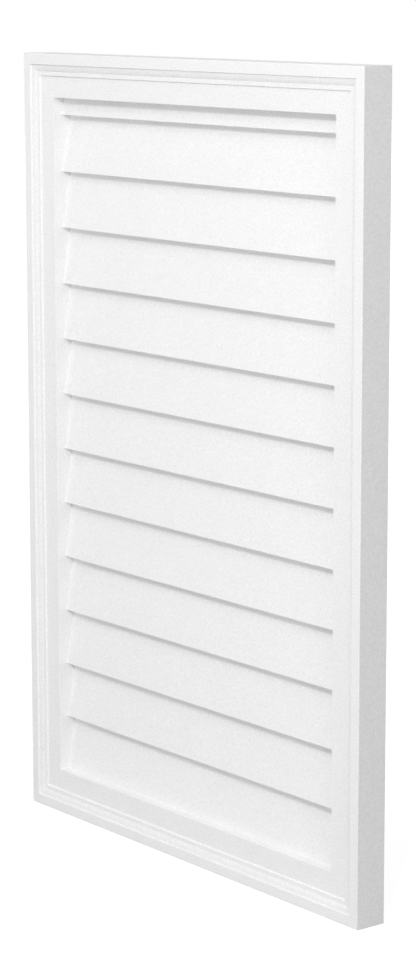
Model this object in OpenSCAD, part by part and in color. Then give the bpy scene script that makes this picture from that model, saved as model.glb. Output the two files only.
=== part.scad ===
// Decorative louvred vent for a gable wall: one closed panel, moulded in one piece.
// A mitred moulding frames a field of tilted louvre boards, and the back is flat.
// Frame of reference: X to the right, Z up, the wall at Y = 0 and the front towards -Y.
// The origin is the centre of the flat back face.

/* [Overall] */
// Overall width, across the frame
vent_w = 609.6; // [300:0.1:1200]
// Overall height, from the bottom edge to the top edge
vent_h = 914.4; // [300:0.1:1800]
// Overall depth, from the wall to the frame's outer flat
vent_d = 38.1; // [34:0.1:60]

/* [Frame moulding] */
// Width of the frame band, from the outer edge to the louvre opening
band_w = 50.8; // [32:0.1:90]
// Width of the outer flat
outer_flat_w = 12.7; // [6:0.1:20]
// Height of the step from the outer flat down to the ovolo
outer_step_h = 2.0; // [0.8:0.1:4]
// Run of that step, which leans a little so that it leaves the mould
outer_step_run = 0.8; // [0.2:0.1:2]
// Radius of the ovolo, the convex quarter-round between the two steps
ovolo_r = 12.7; // [9:0.1:20]
// Width of the ovolo, as seen from the front
ovolo_w = 7.4; // [4:0.1:8.5]
// Width of the narrow fillet inside the ovolo
fillet_w = 4.5; // [2:0.1:8]
// Height of the step from the fillet down to the inner flat
inner_step_h = 2.0; // [0.8:0.1:4]
// Run of that step
inner_step_run = 1.3; // [0.2:0.1:2.5]
// Radius that eases the frame's outer front edge
outer_edge_r = 0.8; // [0.3:0.1:2]
// Radius that eases the edge of the louvre opening
lip_edge_r = 0.6; // [0.3:0.1:2]

/* [Louvre boards] */
// Height from one board's lower edge to the next
louvre_pitch = 66.04; // [40:0.01:90]
// Lean of each board's face away from upright, in degrees, its top being the deeper
louvre_tilt = 10; // [6:0.5:13]
// Depth of each board's lower edge behind the frame's outer flat
louvre_setback = 17.5; // [14:0.1:20]
// Fall of each board's underside towards the back, in degrees
underside_fall = 5; // [1:0.5:10]
// Radius that eases each board's lower edge
nose_r = 0.8; // [0.3:0.1:2]

/* [Hidden] */
$fn = 96;
// Overshoot of a cutting shape past what it cuts
overshoot = 1;

opening_w = vent_w - 2 * band_w;
opening_h = vent_h - 2 * band_w;
sill_z = -opening_h / 2;

// Levels of the frame's section, as heights above the wall
ovolo_drop = ovolo_r - sqrt(ovolo_r * ovolo_r - ovolo_w * ovolo_w);
ovolo_top = vent_d - outer_step_h;
fillet_top = ovolo_top - ovolo_drop;
inner_flat_top = fillet_top - inner_step_h;

// Stations across the frame's section, as insets from the outer edge
ovolo_start = outer_flat_w + outer_step_run;
fillet_start = ovolo_start + ovolo_w;
inner_step_start = fillet_start + fillet_w;
inner_flat_start = inner_step_start + inner_step_run;

// The boards: how far they stand off the wall, and how far each face runs back
nose_top = vent_d - louvre_setback;
face_run_back = louvre_pitch / (1 / tan(louvre_tilt) + tan(underside_fall));
louvre_count = ceil(opening_h / louvre_pitch);
// The field runs this far into the solid frame on every side
field_lap = band_w / 2;

// The corner of a board's lower edge, between its face and its underside
nose_angle = 90 + underside_fall - louvre_tilt;
nose_tangent = nose_r / tan(nose_angle / 2);
nose_reach = nose_r / sin(nose_angle / 2);
nose_bisector = 135 + (louvre_tilt + underside_fall) / 2;

function board_z(i) = sill_z + i * louvre_pitch;

// What a square outside corner at [x, y] loses when it is eased
module eased_away(x, y, r) {
    difference() {
        translate([x - r, y - r]) square(r + overshoot);
        translate([x - r, y - r]) circle(r);
        translate([x - r - overshoot, y - r - overshoot]) square([overshoot, r + 2 * overshoot]);
        translate([x - r - overshoot, y - r - overshoot]) square([r + 2 * overshoot, overshoot]);
    }
}

// Section of the frame band: x is the inset from the outer edge, y the height above the wall
module band_section() {
    difference() {
        polygon([
            [0, 0],
            [0, vent_d],
            [outer_flat_w, vent_d],
            [ovolo_start, ovolo_top],
            [ovolo_start, fillet_top],
            [inner_step_start, fillet_top],
            [inner_flat_start, inner_flat_top],
            [band_w, inner_flat_top],
            [band_w, 0]
        ]);
        mirror([1, 0]) eased_away(0, vent_d, outer_edge_r);
        eased_away(band_w, inner_flat_top, lip_edge_r);
    }
    intersection() {
        translate([ovolo_start, ovolo_top - ovolo_r]) circle(ovolo_r);
        translate([ovolo_start - overshoot, fillet_top - overshoot]) square([ovolo_w + overshoot, ovolo_drop + overshoot]);
    }
}

// One length of the band along Z, its outer edge on the axis, mitred at both ends
module mitred_band(length) {
    half = length / 2 + overshoot;
    inner = band_w + overshoot;
    intersection() {
        linear_extrude(height = length, center = true)
            mirror([0, 1]) band_section();
        translate([0, overshoot, 0])
            rotate([90, 0, 0])
                linear_extrude(height = vent_d + 2 * overshoot)
                    polygon([
                        [-overshoot, -half],
                        [inner, inner - length / 2],
                        [inner, length / 2 - inner],
                        [-overshoot, half]
                    ]);
    }
}

// The four lengths of the band, which the mould joins without a seam
module frame() {
    for (side = [0, 1])
        mirror([side, 0, 0])
            translate([-vent_w / 2, 0, 0])
                mitred_band(vent_h);
    for (end = [0, 1])
        mirror([0, 0, end])
            translate([0, 0, -vent_h / 2])
                rotate([0, -90, 0])
                    mitred_band(vent_w);
}

// Section of the boards: x is the height above the wall, y is Z
module louvre_section() {
    // each board starts where its eased lower edge ends, and stops in the crease below the next
    boards = [
        for (i = [0 : louvre_count - 1])
            each [
                i == 0 ? [nose_top, board_z(0)] : nose_point(i, 90 + louvre_tilt),
                [nose_top - face_run_back, board_z(i + 1) - face_run_back * tan(underside_fall)],
                nose_point(i + 1, 180 + underside_fall)
            ]
    ];
    polygon(concat(
        [[0, sill_z - field_lap], [nose_top, sill_z - field_lap]],
        boards,
        [[0, board_z(louvre_count)]]
    ));
    for (i = [1 : louvre_count - 1])
        translate([nose_top, board_z(i)] + nose_reach * [cos(nose_bisector), sin(nose_bisector)])
            circle(nose_r);
}

// Where the eased lower edge of board i meets the flat that leaves it at an angle
function nose_point(i, angle) = [nose_top, board_z(i)] + nose_tangent * [cos(angle), sin(angle)];

// The boards across the opening, run into the frame on all four sides
module louvre_field() {
    field_w = opening_w + 2 * field_lap;
    field_h = opening_h + 2 * field_lap;
    intersection() {
        rotate([90, 0, -90])
            linear_extrude(height = field_w, center = true)
                louvre_section();
        translate([-field_w / 2 - overshoot, -vent_d, -field_h / 2])
            cube([field_w + 2 * overshoot, vent_d + overshoot, field_h]);
    }
}

module vent_panel() {
    color([0.96, 0.96, 0.955]) {
        frame();
        louvre_field();
    }
}

vent_panel();
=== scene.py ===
"""A closed louvred vent, moulded in one piece and primed white, in a pale studio.

Sizes are in millimetres in the dataclasses, as a mould maker would give them, and in metres in every mesh.
X is to the right, Z is up, the wall is at Y = 0 and the vent's front looks along -Y.
"""

import logging
import math
from dataclasses import dataclass, field
from enum import Enum
from typing import Any

import bmesh
import bpy
import numpy as np
from mathutils import Euler, Matrix, Vector


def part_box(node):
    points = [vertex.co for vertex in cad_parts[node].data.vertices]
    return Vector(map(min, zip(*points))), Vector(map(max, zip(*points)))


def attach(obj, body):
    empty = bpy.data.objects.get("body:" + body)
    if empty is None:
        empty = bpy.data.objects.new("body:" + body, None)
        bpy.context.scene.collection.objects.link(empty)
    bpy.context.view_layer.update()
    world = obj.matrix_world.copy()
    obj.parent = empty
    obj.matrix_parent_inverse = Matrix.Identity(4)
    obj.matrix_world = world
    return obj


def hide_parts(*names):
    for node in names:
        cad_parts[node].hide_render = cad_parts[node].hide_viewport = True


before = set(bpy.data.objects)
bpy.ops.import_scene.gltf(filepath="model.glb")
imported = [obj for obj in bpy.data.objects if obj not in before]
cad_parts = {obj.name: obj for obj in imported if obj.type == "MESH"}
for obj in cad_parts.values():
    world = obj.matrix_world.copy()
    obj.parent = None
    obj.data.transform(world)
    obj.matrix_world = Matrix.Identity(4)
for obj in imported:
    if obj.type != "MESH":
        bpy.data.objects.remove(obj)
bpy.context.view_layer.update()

log = logging.getLogger("louvred_vent")

NODE = "vent_panel"
MM = 0.001


def linear_colour(hex_code: str) -> tuple[float, float, float, float]:
    """Turns an sRGB hex colour into the linear one that a shader takes.

    Args:
        hex_code: the colour as six hex digits, with or without a hash.

    Returns:
        Linear red, green and blue, with an alpha of 1.
    """
    code = hex_code.lstrip("#")
    encoded = np.array([int(code[i:i + 2], 16) for i in (0, 2, 4)]) / 255.0
    linear = np.where(encoded <= 0.04045, encoded / 12.92, ((encoded + 0.055) / 1.055) ** 2.4)
    return (*(float(c) for c in linear), 1.0)


def add_node(
    tree: bpy.types.NodeTree, kind: str, inputs: dict[str, Any] | None = None, **settings: Any
) -> bpy.types.Node:
    """Adds one node to a tree, with its settings, values and links.

    Args:
        tree: the node tree of a material or of the world.
        kind: the node's type name in Blender.
        inputs: for each input, by name or number, either a value or the output socket that feeds it.
        settings: the node's own properties, such as operation or blend_type.

    Returns:
        The new node.
    """
    node = tree.nodes.new(kind)
    for name, value in settings.items():
        setattr(node, name, value)
    for name, value in (inputs or {}).items():
        if isinstance(value, bpy.types.NodeSocket):
            tree.links.new(value, node.inputs[name])
        else:
            node.inputs[name].default_value = value
    return node


def arc(centre: tuple[float, float], radius: float, start: float, end: float, steps: int) -> np.ndarray:
    """Points along a circle: the centre plus the radius times the cosine and sine of an even run of angles.

    Args:
        centre: the circle's centre.
        radius: its radius.
        start: the first angle in degrees, counted from the first axis.
        end: the last angle in degrees.
        steps: how many points, both ends included.

    Returns:
        An array of steps by 2.
    """
    angle = np.radians(np.linspace(start, end, steps))
    return np.array(centre) + radius * np.column_stack([np.cos(angle), np.sin(angle)])


def line(start: tuple[float, float], end: tuple[float, float], steps: int) -> np.ndarray:
    """Even points on a straight line, both ends included."""
    return np.linspace(start, end, steps)


def polyline(runs: list[np.ndarray]) -> np.ndarray:
    """Joins runs of points end to end and drops each point that repeats the one before it.

    Args:
        runs: arrays of points by 2, each starting where the last one ended.

    Returns:
        One array of points by 2.
    """
    points = np.concatenate(runs)
    step = np.linalg.norm(np.diff(points, axis=0), axis=1)
    return points[np.concatenate([[True], step > 1e-6])]


@dataclass(frozen=True)
class BandSection:
    """Section of the frame band, in mm: how far in from the outer edge, and how high above the wall.

    The stations follow the moulding from the outer edge inwards: an outer flat, a step, an ovolo, a fillet,
    a second step and the inner flat that ends at the louvre opening.
    """

    depth: float
    width: float = 50.8
    outer_flat_w: float = 12.7
    outer_step_h: float = 2.0
    outer_step_run: float = 0.8
    ovolo_r: float = 12.7
    ovolo_w: float = 7.4
    fillet_w: float = 4.5
    inner_step_h: float = 2.0
    inner_step_run: float = 1.3
    outer_edge_r: float = 0.8
    lip_edge_r: float = 0.3
    back_edge_r: float = 0.4

    @property
    def ovolo_drop(self) -> float:
        """How far the ovolo falls across its width: the sagitta of its circle."""
        return self.ovolo_r - math.sqrt(self.ovolo_r**2 - self.ovolo_w**2)

    @property
    def fillet_level(self) -> float:
        """Height of the narrow fillet above the wall."""
        return self.depth - self.outer_step_h - self.ovolo_drop

    @property
    def inner_flat_level(self) -> float:
        """Height of the inner flat above the wall."""
        return self.fillet_level - self.inner_step_h

    @property
    def lip_level(self) -> float:
        """Height at which the eased edge of the opening turns straight back."""
        return self.inner_flat_level - self.lip_edge_r

    def points(self) -> np.ndarray:
        """The section from the middle of the back, round the outer edge and over the moulding to the lip.

        Returns:
            An array of points by 2: inset from the outer edge and height above the wall, in mm.
        """
        back, outer, lip = self.back_edge_r, self.outer_edge_r, self.lip_edge_r
        ovolo_start = self.outer_flat_w + self.outer_step_run
        ovolo_top = self.depth - self.outer_step_h
        ovolo_end = math.degrees(math.acos(self.ovolo_w / self.ovolo_r))
        fillet_start = ovolo_start + self.ovolo_w
        fillet_end = fillet_start + self.fillet_w
        flat_start = fillet_end + self.inner_step_run
        return polyline([
            line((self.width, 0), (back, 0), 6),
            arc((back, back), back, 270, 180, 4),
            line((0, back), (0, self.depth - outer), 8),
            arc((outer, self.depth - outer), outer, 180, 90, 6),
            line((outer, self.depth), (self.outer_flat_w, self.depth), 4),
            line((self.outer_flat_w, self.depth), (ovolo_start, ovolo_top), 2),
            arc((ovolo_start, ovolo_top - self.ovolo_r), self.ovolo_r, 90, ovolo_end, 12),
            line((fillet_start, self.fillet_level), (fillet_end, self.fillet_level), 3),
            line((fillet_end, self.fillet_level), (flat_start, self.inner_flat_level), 2),
            line((flat_start, self.inner_flat_level), (self.width - lip, self.inner_flat_level), 6),
            arc((self.width - lip, self.lip_level), lip, 90, 0, 5),
        ])


@dataclass(frozen=True)
class LouvreSection:
    """Section of the louvre boards, in mm: how high above the wall, and how high above the sill.

    Each board leans back from its lower edge. Its underside falls towards the back until it meets
    the face of the board below, so the field is closed all the way up.
    """

    opening_h: float
    depth: float
    pitch: float = 66.04
    tilt: float = 10.0
    setback: float = 17.5
    underside_fall: float = 5.0
    nose_r: float = 0.3
    face_steps: int = 6

    @property
    def nose_level(self) -> float:
        """Height of every board's lower edge above the wall."""
        return self.depth - self.setback

    @property
    def run_back(self) -> float:
        """How far a face leans back before the underside above meets it.

        The face rises by the run over the tangent of its tilt, the underside falls by the run times the
        tangent of its own angle, and the two together make one pitch.
        """
        face_rise = 1 / math.tan(math.radians(self.tilt))
        underside_drop = math.tan(math.radians(self.underside_fall))
        return self.pitch / (face_rise + underside_drop)

    def underside(self, board: int) -> np.ndarray:
        """A board's underside from the crease out to its eased lower edge, and round that edge."""
        height = board * self.pitch
        fall = math.radians(self.underside_fall)
        corner = 90 + self.underside_fall - self.tilt
        middle = math.radians(135 + (self.tilt + self.underside_fall) / 2)
        reach = self.nose_r / math.sin(math.radians(corner / 2))
        centre = (self.nose_level + reach * math.cos(middle), height + reach * math.sin(middle))
        nose = arc(centre, self.nose_r, self.underside_fall - 90, self.tilt, 6)
        crease = (self.nose_level - self.run_back, height - self.run_back * math.tan(fall))
        return polyline([line(crease, tuple(nose[0]), 3), nose])

    def points(self) -> np.ndarray:
        """The whole field from the sill up to the head of the opening.

        Returns:
            An array of points by 2: height above the wall and height above the sill, in mm. The second
            column always rises, which lets the sides of the opening be ruled between it and the lip.
        """
        runs, start = [], np.array([self.nose_level, 0.0])
        for board in range(1, math.ceil(self.opening_h / self.pitch)):
            under = self.underside(board)
            runs += [line(tuple(start), tuple(under[0]), self.face_steps), under]
            start = under[-1]
        left = self.opening_h - start[1]
        end = (start[0] - left * math.tan(math.radians(self.tilt)), self.opening_h)
        runs.append(line(tuple(start), end, self.face_steps))
        return polyline(runs)


@dataclass
class Patch:
    """A grid of points, rows by columns by 3, that becomes quads."""

    points: np.ndarray

    def quads(self, first: int) -> np.ndarray:
        """The grid's quads: each point with its neighbours along the row and the column.

        Args:
            first: the index that the patch's first point has in the whole mesh.

        Returns:
            An array of quads by 4 vertex indices.
        """
        rows, columns = self.points.shape[:2]
        index = first + np.arange(rows * columns).reshape(rows, columns)
        corners = [index[:-1, :-1], index[:-1, 1:], index[1:, 1:], index[1:, :-1]]
        return np.stack(corners, axis=-1).reshape(-1, 4)


@dataclass
class VentPanel:
    """The vent: one closed mesh of the mitred band, the opening's sides, the boards and the flat back."""

    low: Vector
    high: Vector
    across_steps: int = 25
    reveal_steps: int = 4
    half_w: float = field(init=False)
    half_h: float = field(init=False)
    band: BandSection = field(init=False)
    louvres: LouvreSection = field(init=False)

    def __post_init__(self) -> None:
        """Takes the overall sizes from the CAD box."""
        self.half_w = (self.high.x - self.low.x) / 2 / MM
        self.half_h = (self.high.z - self.low.z) / 2 / MM
        depth = (self.high.y - self.low.y) / MM
        self.band = BandSection(depth=depth)
        self.louvres = LouvreSection(opening_h=2 * (self.half_h - self.band.width), depth=depth)

    def band_patch(self, stations: np.ndarray, along: float, across: float, turn: int) -> Patch:
        """One length of the band: its section carried along a side and mitred at both ends.

        A point of the section keeps its inset and its height at every station. The first and last
        stations lie on the mitres, where the place along the side is the outer corner less the inset.

        Args:
            stations: places along the side between the mitres, in mm from its middle.
            along: half the panel's size along the side.
            across: half its size across the side.
            turn: how many quarter turns take the bottom side to this one.

        Returns:
            The patch, stations by section points.
        """
        inset, level = self.band.points().T
        place = np.broadcast_to(stations[:, None], (len(stations), len(inset)))
        place = np.vstack([inset - along, place, along - inset])
        outward = np.broadcast_to(inset - across, place.shape)
        cos, sin = (round(math.cos(turn * math.pi / 2)), round(math.sin(turn * math.pi / 2)))
        return Patch(np.stack([
            cos * place - sin * outward,
            np.broadcast_to(-level, place.shape),
            sin * place + cos * outward,
        ], axis=-1))

    def ruled(self, lip: np.ndarray, field_edge: np.ndarray) -> Patch:
        """A side of the opening: straight lines from the lip back to the edge of the louvre field.

        Args:
            lip: points by 3 along the lip.
            field_edge: as many points along the edge of the field.

        Returns:
            The patch, points by steps of the straight blend from one to the other.
        """
        blend = np.linspace(0, 1, self.reveal_steps)[None, :, None]
        return Patch(lip[:, None, :] * (1 - blend) + field_edge[:, None, :] * blend)

    def patches(self) -> list[Patch]:
        """Every patch of the panel, in mm, meeting edge to edge at shared points."""
        half_open_w = self.half_w - self.band.width
        half_open_h = self.half_h - self.band.width
        level, rise = self.louvres.points().T
        upright = rise - half_open_h
        across = np.linspace(-half_open_w, half_open_w, self.across_steps)

        boards = np.stack(np.broadcast_arrays(across[None, :], -level[:, None], upright[:, None]), axis=-1)
        back = np.stack(np.broadcast_arrays(across[None, :], 0.0, upright[:, None]), axis=-1)
        front = boards.copy()
        front[..., 1] = -self.band.lip_level
        return [
            self.band_patch(across, self.half_w, self.half_h, 0),
            self.band_patch(upright, self.half_h, self.half_w, 1),
            self.band_patch(-across[::-1], self.half_w, self.half_h, 2),
            self.band_patch(-upright[::-1], self.half_h, self.half_w, 3),
            self.ruled(front[:, 0], boards[:, 0]),
            self.ruled(front[:, -1], boards[:, -1]),
            self.ruled(front[0], boards[0]),
            self.ruled(front[-1], boards[-1]),
            Patch(boards),
            Patch(back),
        ]

    def mesh(self) -> bpy.types.Mesh:
        """Welds the patches into one closed mesh in metres, with its faces outward."""
        patches = self.patches()
        starts = np.cumsum([0] + [patch.points.shape[0] * patch.points.shape[1] for patch in patches])
        points = np.concatenate([patch.points.reshape(-1, 3) for patch in patches]) * MM
        quads = np.concatenate([patch.quads(int(start)) for patch, start in zip(patches, starts)])
        mesh = bpy.data.meshes.new("vent_moulding")
        mesh.from_pydata(points.tolist(), [], quads.tolist())
        work = bmesh.new()
        work.from_mesh(mesh)
        bmesh.ops.remove_doubles(work, verts=work.verts, dist=2e-6)
        bmesh.ops.recalc_face_normals(work, faces=work.faces)
        work.to_mesh(mesh)
        work.free()
        return mesh

    def build(self, finish: "PrimedPolyurethane") -> bpy.types.Object:
        """Makes the panel's object, dresses it and sets it on its body in place of the plain solid.

        Args:
            finish: the primed finish.

        Returns:
            The new object.
        """
        panel = bpy.data.objects.new("vent_moulding", self.mesh())
        bpy.context.scene.collection.objects.link(panel)
        panel.data.materials.append(finish.material())
        panel.data.shade_smooth()
        panel.data.set_sharp_from_angle(angle=math.radians(28))
        weighted = panel.modifiers.new("flat_faces_stay_flat", "WEIGHTED_NORMAL")
        weighted.keep_sharp = True
        weighted.weight = 100
        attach(panel, "root")
        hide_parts(NODE)
        return panel


@dataclass(frozen=True)
class PrimedPolyurethane:
    """Rigid polyurethane, moulded with a closed skin and sprayed with white primer at the factory.

    To the eye it is a neutral white, matt but not chalky. Sprayed primer dries to a fine stipple, and the
    coat is a little uneven where it lies thicker. The shade in the stipple's pits and the light on its crests
    are painted into the colour, the pits darker and the crests lighter, on top of the bump. The real stipple,
    at well under a millimetre, is too fine to show in the render, so it is drawn about 2 mm coarse.
    """

    # Crest and pit colours: painted light on the stipple's crests and painted shade in its pits.
    crest_painted_light: str = "#F7F7F7"
    pit_painted_shade: str = "#E8E8E8"
    ior: float = 1.47
    roughness: float = 0.62
    roughness_spread: float = 0.05
    stipple_mm: float = 2.0
    stipple_depth_mm: float = 0.05
    stipple_low: float = 0.32
    stipple_high: float = 0.68
    coat_patch_mm: float = 45.0
    coat_share: float = 0.2

    def material(self) -> bpy.types.Material:
        """Builds the finish's material on the panel's own coordinates."""
        material = bpy.data.materials.new("primed_moulded_polyurethane")
        material.use_nodes = True
        tree = material.node_tree
        shader = tree.nodes["Principled BSDF"]
        shader.inputs["IOR"].default_value = self.ior
        place = add_node(tree, "ShaderNodeTexCoord").outputs["Object"]
        patches = add_node(tree, "ShaderNodeTexNoise", {
            "Vector": place, "Scale": 1 / (self.coat_patch_mm * MM), "Detail": 2.0,
        })
        grain = add_node(tree, "ShaderNodeTexNoise", {
            "Vector": place, "Scale": 1 / (self.stipple_mm * MM), "Detail": 2.0,
        })
        stipple = add_node(tree, "ShaderNodeMapRange", {
            "Value": grain.outputs["Fac"], "From Min": self.stipple_low, "From Max": self.stipple_high,
        })
        # Colour factor: the stipple's height, which paints shade into its pits and light onto its crests,
        # mixed with the coat's uneven patches.
        pit_shade_and_coat_tone = add_node(tree, "ShaderNodeMix", {
            "Factor": self.coat_share, "A": stipple.outputs["Result"], "B": patches.outputs["Fac"],
        }, data_type="FLOAT")
        # The coat colour carries the painted pit shade and crest light, along with the coat's patchy tone.
        coat = add_node(tree, "ShaderNodeMix", {
            "Factor": pit_shade_and_coat_tone.outputs["Result"],
            "A": linear_colour(self.pit_painted_shade),
            "B": linear_colour(self.crest_painted_light),
        }, data_type="RGBA")
        rough = add_node(tree, "ShaderNodeMapRange", {
            "Value": stipple.outputs["Result"],
            "To Min": self.roughness - self.roughness_spread,
            "To Max": self.roughness + self.roughness_spread,
        })
        bump = add_node(tree, "ShaderNodeBump", {
            "Height": stipple.outputs["Result"], "Distance": self.stipple_depth_mm * MM, "Strength": 1.0,
        })
        tree.links.new(coat.outputs["Result"], shader.inputs["Base Color"])
        tree.links.new(rough.outputs["Result"], shader.inputs["Roughness"])
        tree.links.new(bump.outputs["Normal"], shader.inputs["Normal"])
        return material


@dataclass(frozen=True)
class Lamp:
    """A soft box: a square area lamp at a place, aimed at a point."""

    name: str
    place: tuple[float, float, float]
    aim: tuple[float, float, float]
    side: float
    watts: float

    def build(self) -> bpy.types.Object:
        """Makes the lamp."""
        data = bpy.data.lights.new(self.name, "AREA")
        data.shape = "SQUARE"
        data.size = self.side
        data.energy = self.watts
        lamp = bpy.data.objects.new(self.name, data)
        lamp.location = self.place
        lamp.rotation_euler = (Vector(self.aim) - Vector(self.place)).to_track_quat("-Z", "Y").to_euler()
        bpy.context.scene.collection.objects.link(lamp)
        return lamp


class Backdrop(Enum):
    """The tones of the studio: what the camera sees of it, and what lights the vent."""

    SEEN = "#FFFFFF"
    FILL = "#FFFFFF"
    FLOOR = "#CBCBCB"


@dataclass
class Studio:
    """A pale floor under the vent, a white background and soft lamps."""

    floor_level: float
    floor_side: float = 24.0
    fill_strength: float = 0.61
    near_glow: float = 0.75
    glow_near: float = 1.5
    glow_far: float = 4.0
    lamps: tuple[Lamp, ...] = (
        Lamp("key_softbox", (1.6, -1.7, 1.35), (0.0, 0.0, 0.0), 0.35, 24.8),
        Lamp("left_overhead_softbox", (-2.0, -1.6, 1.6), (0.0, 0.0, 0.0), 1.4, 12.9),
        Lamp("top_softbox", (0.0, -1.2, 1.9), (0.0, 0.0, 0.0), 1.0, 6.7),
        Lamp("front_fill_softbox", (0.0, -2.8, 0.2), (0.0, 0.0, 0.0), 1.6, 14.6),
        Lamp("side_fill_softbox", (8.0, -3.0, 1.5), (0.0, 0.0, 0.0), 3.0, 113.0),
    )

    def floor(self) -> bpy.types.Object:
        """The floor: a square plane that the vent stands on, which keeps its shadow."""
        half = self.floor_side / 2
        corners = np.array([[-half, -half], [half, -half], [half, half], [-half, half]])
        points = np.column_stack([corners, np.full(4, self.floor_level)])
        mesh = bpy.data.meshes.new("studio_floor")
        mesh.from_pydata(points.tolist(), [], [(0, 1, 2, 3)])
        floor = bpy.data.objects.new("studio_floor", mesh)
        bpy.context.scene.collection.objects.link(floor)
        mesh.materials.append(self.floor_material())
        return floor

    def floor_material(self) -> bpy.types.Material:
        """Matt pale paint, which glows a little where it is looked at or reflected.

        The glow rises with the distance from the vent up to full white, so that the floor goes over into the
        backdrop without a line, and the vent's shadow stays.
        """
        material = bpy.data.materials.new("pale_floor_paint")
        material.use_nodes = True
        tree = material.node_tree
        tree.nodes.clear()
        paint = add_node(tree, "ShaderNodeBsdfDiffuse", {"Color": linear_colour(Backdrop.FLOOR.value)})
        place = add_node(tree, "ShaderNodeTexCoord").outputs["Object"]
        distance = add_node(tree, "ShaderNodeVectorMath", {0: place}, operation="LENGTH").outputs["Value"]
        rise = add_node(tree, "ShaderNodeMapRange", {
            "Value": distance, "From Min": self.glow_near, "From Max": self.glow_far,
            "To Min": self.near_glow, "To Max": 1.0,
        })
        glow = add_node(tree, "ShaderNodeMath", {
            0: self.looked_at(tree), 1: rise.outputs["Result"],
        }, operation="MULTIPLY")
        light = add_node(tree, "ShaderNodeEmission", {
            "Color": linear_colour(Backdrop.SEEN.value), "Strength": glow.outputs[0],
        })
        both = add_node(tree, "ShaderNodeAddShader", {0: paint.outputs[0], 1: light.outputs[0]})
        add_node(tree, "ShaderNodeOutputMaterial", {"Surface": both.outputs[0]})
        return material

    def looked_at(self, tree: bpy.types.NodeTree) -> bpy.types.NodeSocket:
        """A value of 1 for the camera's own rays and for those that it sees mirrored or through glass.

        Args:
            tree: the node tree that takes the value.

        Returns:
            The socket with the value.
        """
        path = add_node(tree, "ShaderNodeLightPath").outputs
        mirrored = add_node(tree, "ShaderNodeMath", {
            0: path["Is Camera Ray"], 1: path["Is Glossy Ray"],
        }, operation="ADD")
        return add_node(tree, "ShaderNodeMath", {
            0: mirrored.outputs[0], 1: path["Is Transmission Ray"],
        }, operation="ADD", use_clamp=True).outputs[0]

    def world(self) -> None:
        """White where it is looked at, and otherwise a soft fill that grows with height, as a sky does."""
        world = bpy.data.worlds.new("studio_world")
        world.use_nodes = True
        tree = world.node_tree
        tree.nodes.clear()
        direction = add_node(tree, "ShaderNodeTexCoord").outputs["Generated"]
        height = add_node(tree, "ShaderNodeSeparateXYZ", {0: direction}).outputs["Z"]
        above = add_node(tree, "ShaderNodeMath", {
            0: height, 1: self.fill_strength,
        }, operation="MULTIPLY", use_clamp=True)
        fill = add_node(tree, "ShaderNodeBackground", {
            "Color": linear_colour(Backdrop.FILL.value), "Strength": above.outputs[0],
        })
        white = add_node(tree, "ShaderNodeBackground", {
            "Color": linear_colour(Backdrop.SEEN.value), "Strength": 1.0,
        })
        mix = add_node(tree, "ShaderNodeMixShader", {
            0: self.looked_at(tree), 1: fill.outputs[0], 2: white.outputs[0],
        })
        add_node(tree, "ShaderNodeOutputWorld", {"Surface": mix.outputs[0]})
        bpy.context.scene.world = world

    def build(self) -> None:
        """Sets up the floor, the world and the lamps."""
        self.floor()
        self.world()
        for lamp in self.lamps:
            lamp.build()
            log.info("lamp %s at %s", lamp.name, lamp.place)


@dataclass(frozen=True)
class PhotographCamera:
    """The camera that took the photograph, worked out from the vent's corners.

    The focal length is in pixels of the 957 pixel tall picture, and the sensor's 36 mm lie along that side.
    """

    place: tuple[float, float, float] = (2.483, -1.9391, 0.5538)
    yaw: float = 52.03
    pitch: float = 10.21
    roll: float = -0.07
    focal_px: float = 2828.0
    picture_h: float = 957.0
    sensor_mm: float = 36.0

    def build(self) -> bpy.types.Object:
        """Makes the camera: yawed from looking along +Y, pitched down and rolled about its own axis."""
        data = bpy.data.cameras.new("photograph_camera")
        data.sensor_width = self.sensor_mm
        data.lens = self.focal_px / self.picture_h * self.sensor_mm
        data.clip_start, data.clip_end = 0.05, 100.0
        camera = bpy.data.objects.new("photograph_camera", data)
        turn = Euler((math.radians(90 - self.pitch), 0, math.radians(self.yaw)))
        camera.matrix_world = (
            Matrix.Translation(self.place)
            @ turn.to_matrix().to_4x4()
            @ Matrix.Rotation(math.radians(self.roll), 4, "Z")
        )
        bpy.context.scene.collection.objects.link(camera)
        bpy.context.scene.camera = camera
        return camera


def main() -> None:
    """Builds the vent, its studio and the camera, and reports each piece."""
    logging.basicConfig(level=logging.INFO, format="%(name)s: %(message)s")
    bpy.context.scene.view_settings.view_transform = "Standard"
    low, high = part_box(NODE)
    panel = VentPanel(low, high).build(PrimedPolyurethane())
    log.info("%s: %d faces", panel.name, len(panel.data.polygons))
    Studio(floor_level=low.z).build()
    PhotographCamera().build()


if __name__ == "__main__":
    main()
